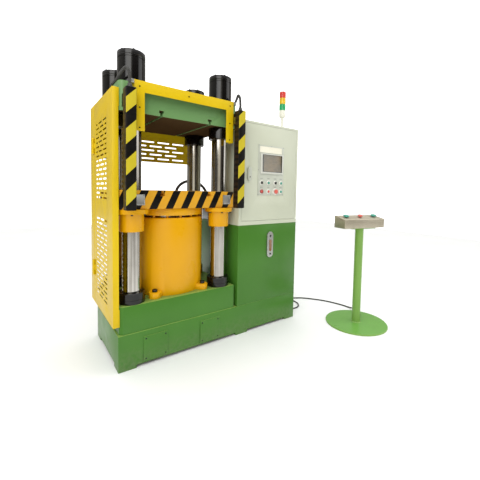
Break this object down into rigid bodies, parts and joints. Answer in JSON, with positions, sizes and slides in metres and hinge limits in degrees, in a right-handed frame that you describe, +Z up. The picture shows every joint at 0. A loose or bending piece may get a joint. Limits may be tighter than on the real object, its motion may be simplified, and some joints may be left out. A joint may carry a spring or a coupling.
{
  "type": "hydraulic press",
  "caption": "Upstroke hydraulic press: a striped platen on chromed columns, with an oil tank, a control cabinet, slotted guards and a two-hand control stand.",
  "frame": {"origin": "on the floor, under the middle of the press and its control stand", "axes": "+X along the front from the press to its cabinet and stand, +Y from the front to the back, +Z up"},
  "size_m": [2.2014, 1.37, 2.0605],
  "materials": {
    "base_green": "gloss enamel",
    "crown_green": "gloss enamel",
    "cylinder_amber": "gloss enamel",
    "platen_amber": "enamel, striped on the front",
    "guard_yellow": "gloss powder coat",
    "post_yellow": "enamel, striped",
    "cabinet_grey": "textured enamel",
    "hard_chrome": "polished",
    "machined_steel": "machined",
    "black_enamel": "gloss",
    "brushed_aluminium": "brushed",
    "black_plastic": "satin",
    "red_plastic": "satin",
    "green_plastic": "satin",
    "red_lens": "ribbed",
    "amber_lens": "ribbed",
    "green_lens": "ribbed",
    "cream_plastic": "satin",
    "box_steel": "brushed",
    "rubber": "matt",
    "packing_rubber": "matt",
    "motor_enamel": "enamel"
  },
  "bodies": {
    "frame": {"base_frame": "base_green", "access_cover_left": "base_green", "access_cover_right": "base_green", "oil_tank": "base_green", "tank_lid": "base_green", "control_stand": "base_green", "crown": "crown_green", "main_cylinder": "cylinder_amber", "gland_ring": "cylinder_amber", "trim_frame": "guard_yellow", "rear_guard": "guard_yellow", "striped_post_left": "post_yellow", "striped_post_right": "post_yellow", "cabinet_shell": "cabinet_grey", "column_front_left": "hard_chrome", "column_front_right": "hard_chrome", "column_rear_left": "hard_chrome", "column_rear_right": "hard_chrome", "breather": "hard_chrome", "valve_block": "machined_steel", "column_nut_front_left": "black_enamel", "column_nut_front_right": "black_enamel", "column_nut_rear_left": "black_enamel", "column_nut_rear_right": "black_enamel", "oil_gauge": "brushed_aluminium", "conduit_left": "black_plastic", "conduit_right": "black_plastic", "signal_lens_red": "red_lens", "signal_lens_amber": "amber_lens", "signal_lens_green": "green_lens", "signal_base": "cream_plastic", "switchgear_plate": "cream_plastic", "control_box": "box_steel", "pressure_hose": "rubber", "control_cable": "rubber", "packing_seal": "packing_rubber", "pump_motor": "motor_enamel", "pump": "motor_enamel"},
    "table": {"platen": "platen_amber", "ram": "hard_chrome", "guide_bushing_front_left": "cylinder_amber", "guide_bushing_front_right": "cylinder_amber", "guide_bushing_rear_left": "cylinder_amber", "guide_bushing_rear_right": "cylinder_amber"},
    "door": {"cabinet_door": "cabinet_grey", "control_plate": "brushed_aluminium", "touch_screen": "black_plastic"},
    "lock": {"door_lock": "hard_chrome"},
    "guard": {"side_guard": "guard_yellow"},
    "selector_left": {"selector_left": "black_plastic"},
    "selector_right": {"selector_right": "black_plastic"},
    "button_start": {"button_start": "green_plastic"},
    "button_heat": {"button_heat": "green_plastic"},
    "button_lower": {"button_lower": "red_plastic"},
    "button_stop": {"button_stop": "red_plastic"},
    "button_raise": {"button_raise": "green_plastic"},
    "emergency_stop": {"emergency_stop": "red_plastic"},
    "palm_button_left": {"palm_button_left": "green_plastic"},
    "palm_button_right": {"palm_button_right": "green_plastic"},
    "stand_stop": {"stand_stop": "red_plastic"}
  },
  "joints": [
    {"name": "table_lift", "type": "slide", "parent": "frame", "child": "table", "axis": [0, 0, 1], "range_m": [0, 0.35]},
    {"name": "cabinet_door_hinge", "type": "hinge", "parent": "frame", "child": "door", "pos_m": [0.44275, -0.011, 1.3], "axis": [0, 0, 1], "range_deg": [0, 100]},
    {"name": "door_lock_turn", "type": "hinge", "parent": "door", "child": "lock", "pos_m": [-0.07175, -0.015, 1.322], "axis": [0, 1, 0], "range_deg": [0, 90]},
    {"name": "side_guard_hinge", "type": "hinge", "parent": "frame", "child": "guard", "pos_m": [-1.09275, 0.55, 1], "axis": [0, 0, -1], "range_deg": [0, 100]},
    {"name": "selector_left_turn", "type": "hinge", "parent": "door", "child": "selector_left", "pos_m": [0.05525, -0.015, 1.221], "axis": [0, 1, 0], "range_deg": [-45, 45]},
    {"name": "selector_right_turn", "type": "hinge", "parent": "door", "child": "selector_right", "pos_m": [0.20525, -0.015, 1.221], "axis": [0, 1, 0], "range_deg": [-45, 45]},
    {"name": "button_start_press", "type": "slide", "parent": "door", "child": "button_start", "axis": [0, 1, 0], "range_m": [0, 0.004], "stiffness_N_per_m": 600, "springref_m": -0.002},
    {"name": "button_heat_press", "type": "slide", "parent": "door", "child": "button_heat", "axis": [0, 1, 0], "range_m": [0, 0.004], "stiffness_N_per_m": 600, "springref_m": -0.002},
    {"name": "button_lower_press", "type": "slide", "parent": "door", "child": "button_lower", "axis": [0, 1, 0], "range_m": [0, 0.004], "stiffness_N_per_m": 600, "springref_m": -0.002},
    {"name": "button_stop_press", "type": "slide", "parent": "door", "child": "button_stop", "axis": [0, 1, 0], "range_m": [0, 0.004], "stiffness_N_per_m": 600, "springref_m": -0.002},
    {"name": "button_raise_press", "type": "slide", "parent": "door", "child": "button_raise", "axis": [0, 1, 0], "range_m": [0, 0.004], "stiffness_N_per_m": 600, "springref_m": -0.002},
    {"name": "emergency_stop_press", "type": "slide", "parent": "door", "child": "emergency_stop", "axis": [0, 1, 0], "range_m": [0, 0.005]},
    {"name": "palm_button_left_press", "type": "slide", "parent": "frame", "child": "palm_button_left", "axis": [0.0436, 0.1919, -0.9804], "range_m": [0, 0.006], "stiffness_N_per_m": 600, "springref_m": -0.002},
    {"name": "palm_button_right_press", "type": "slide", "parent": "frame", "child": "palm_button_right", "axis": [0.0436, 0.1919, -0.9804], "range_m": [0, 0.006], "stiffness_N_per_m": 600, "springref_m": -0.002},
    {"name": "stand_stop_press", "type": "slide", "parent": "frame", "child": "stand_stop", "axis": [0.0436, 0.1919, -0.9804], "range_m": [0, 0.006]}
  ]
}
